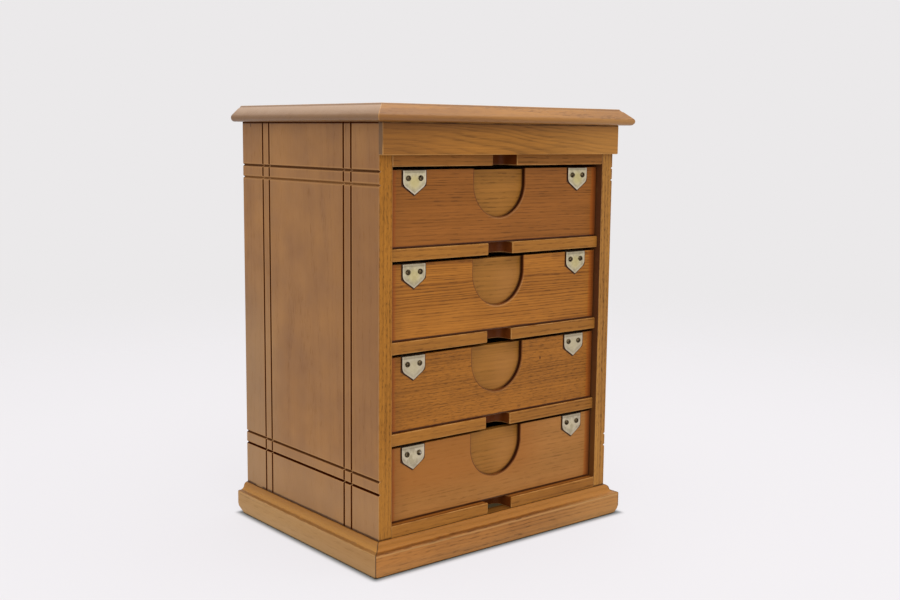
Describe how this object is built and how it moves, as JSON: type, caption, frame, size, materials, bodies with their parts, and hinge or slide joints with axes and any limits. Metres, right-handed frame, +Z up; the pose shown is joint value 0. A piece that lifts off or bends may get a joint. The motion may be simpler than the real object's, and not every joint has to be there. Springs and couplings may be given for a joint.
{
  "type": "desktop file cabinet",
  "caption": "Oak desktop file cabinet with sliding paper drawers, grooved sides, a moulded top, mitred base mouldings, thumb cut-outs and shield plates.",
  "frame": {"origin": "middle of the footprint's bounding box, on the surface that the cabinet stands on", "axes": "+Z up, -Y out of the drawer fronts, +X to the right seen from the front"},
  "size_m": [0.36, 0.2865, 0.4757],
  "materials": {
    "oak_case": "golden oak, satin varnish",
    "oak_sides": "golden oak, satin varnish, dulled",
    "oak_drawer_face": "golden oak, satin varnish",
    "plain_wood": "unvarnished secondary wood",
    "nickel_plate": "aged nickel plating, satin",
    "dark_screws": "blued and tarnished",
    "steel_fasteners": "plain steel, dulled"
  },
  "bodies": {
    "case": {"top_board": "oak_case", "frieze_board": "oak_case", "left_side_panel": "oak_sides", "right_side_panel": "oak_sides", "head_shelf": "oak_case", "shelf_1": "oak_case", "shelf_2": "oak_case", "shelf_3": "oak_case", "bottom_shelf": "oak_case", "back_board_left": "plain_wood", "back_board_middle": "plain_wood", "back_board_right": "plain_wood", "back_nails": "steel_fasteners", "plinth_front_rail": "oak_case", "plinth_back_rail": "plain_wood", "plinth_corner_blocks": "plain_wood", "base_front_moulding": "oak_case", "base_left_moulding": "oak_case", "base_right_moulding": "oak_case", "top_cleats": "plain_wood", "top_cleat_screws": "steel_fasteners"},
    "drawer_1": {"drawer_1_face": "oak_drawer_face", "drawer_1_box_front": "oak_drawer_face", "drawer_1_left_side": "plain_wood", "drawer_1_right_side": "plain_wood", "drawer_1_back": "plain_wood", "drawer_1_bottom": "plain_wood", "drawer_1_shield_plates": "nickel_plate", "drawer_1_shield_screws": "dark_screws"},
    "drawer_2": {"drawer_2_face": "oak_drawer_face", "drawer_2_box_front": "oak_drawer_face", "drawer_2_left_side": "plain_wood", "drawer_2_right_side": "plain_wood", "drawer_2_back": "plain_wood", "drawer_2_bottom": "plain_wood", "drawer_2_shield_plates": "nickel_plate", "drawer_2_shield_screws": "dark_screws"},
    "drawer_3": {"drawer_3_face": "oak_drawer_face", "drawer_3_box_front": "oak_drawer_face", "drawer_3_left_side": "plain_wood", "drawer_3_right_side": "plain_wood", "drawer_3_back": "plain_wood", "drawer_3_bottom": "plain_wood", "drawer_3_shield_plates": "nickel_plate", "drawer_3_shield_screws": "dark_screws"},
    "drawer_4": {"drawer_4_face": "oak_drawer_face", "drawer_4_box_front": "oak_drawer_face", "drawer_4_left_side": "plain_wood", "drawer_4_right_side": "plain_wood", "drawer_4_back": "plain_wood", "drawer_4_bottom": "plain_wood", "drawer_4_shield_plates": "nickel_plate", "drawer_4_shield_screws": "dark_screws"}
  },
  "joints": [
    {"name": "drawer_1_slide", "type": "slide", "parent": "case", "child": "drawer_1", "axis": [0, -1, 0], "range_m": [0, 0.19]},
    {"name": "drawer_2_slide", "type": "slide", "parent": "case", "child": "drawer_2", "axis": [0, -1, 0], "range_m": [0, 0.19]},
    {"name": "drawer_3_slide", "type": "slide", "parent": "case", "child": "drawer_3", "axis": [0, -1, 0], "range_m": [0, 0.19]},
    {"name": "drawer_4_slide", "type": "slide", "parent": "case", "child": "drawer_4", "axis": [0, -1, 0], "range_m": [0, 0.19]}
  ]
}
